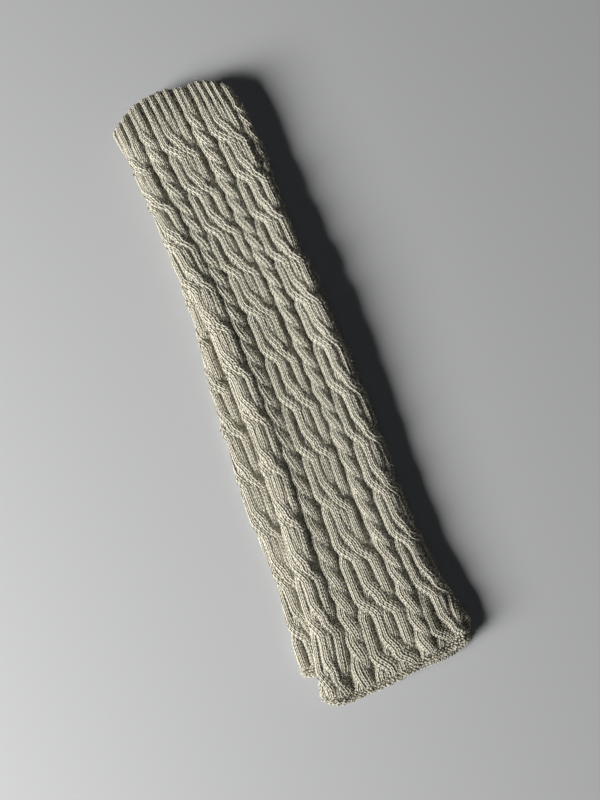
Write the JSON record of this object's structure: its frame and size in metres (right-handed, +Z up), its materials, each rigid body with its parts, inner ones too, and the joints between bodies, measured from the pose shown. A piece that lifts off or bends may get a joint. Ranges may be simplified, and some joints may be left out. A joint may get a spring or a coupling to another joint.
{
  "type": "pair of cable-knit leg warmers",
  "caption": "Pair of hand-knitted cable leg warmers in cream wool, two flattened tubes lying flat one on the other, with ribbed cuffs and cast-off hems.",
  "frame": {"origin": "middle of the pair's outline, at the surface that the lower leg warmer lies on", "axes": "+Y along the leg warmers towards the cuffs, +X to the right of the front seen from above, +Z up"},
  "size_m": [0.1409, 0.5044, 0.0224],
  "materials": {
    "cream_wool_upper": "hand-knitted thick cream wool, fuzzy, matt",
    "cream_wool_lower": "hand-knitted thick cream wool, fuzzy, matt"
  },
  "bodies": {
    "root": {"upper_leg_warmer": "cream_wool_upper", "lower_leg_warmer": "cream_wool_lower"}
  },
  "joints": []
}
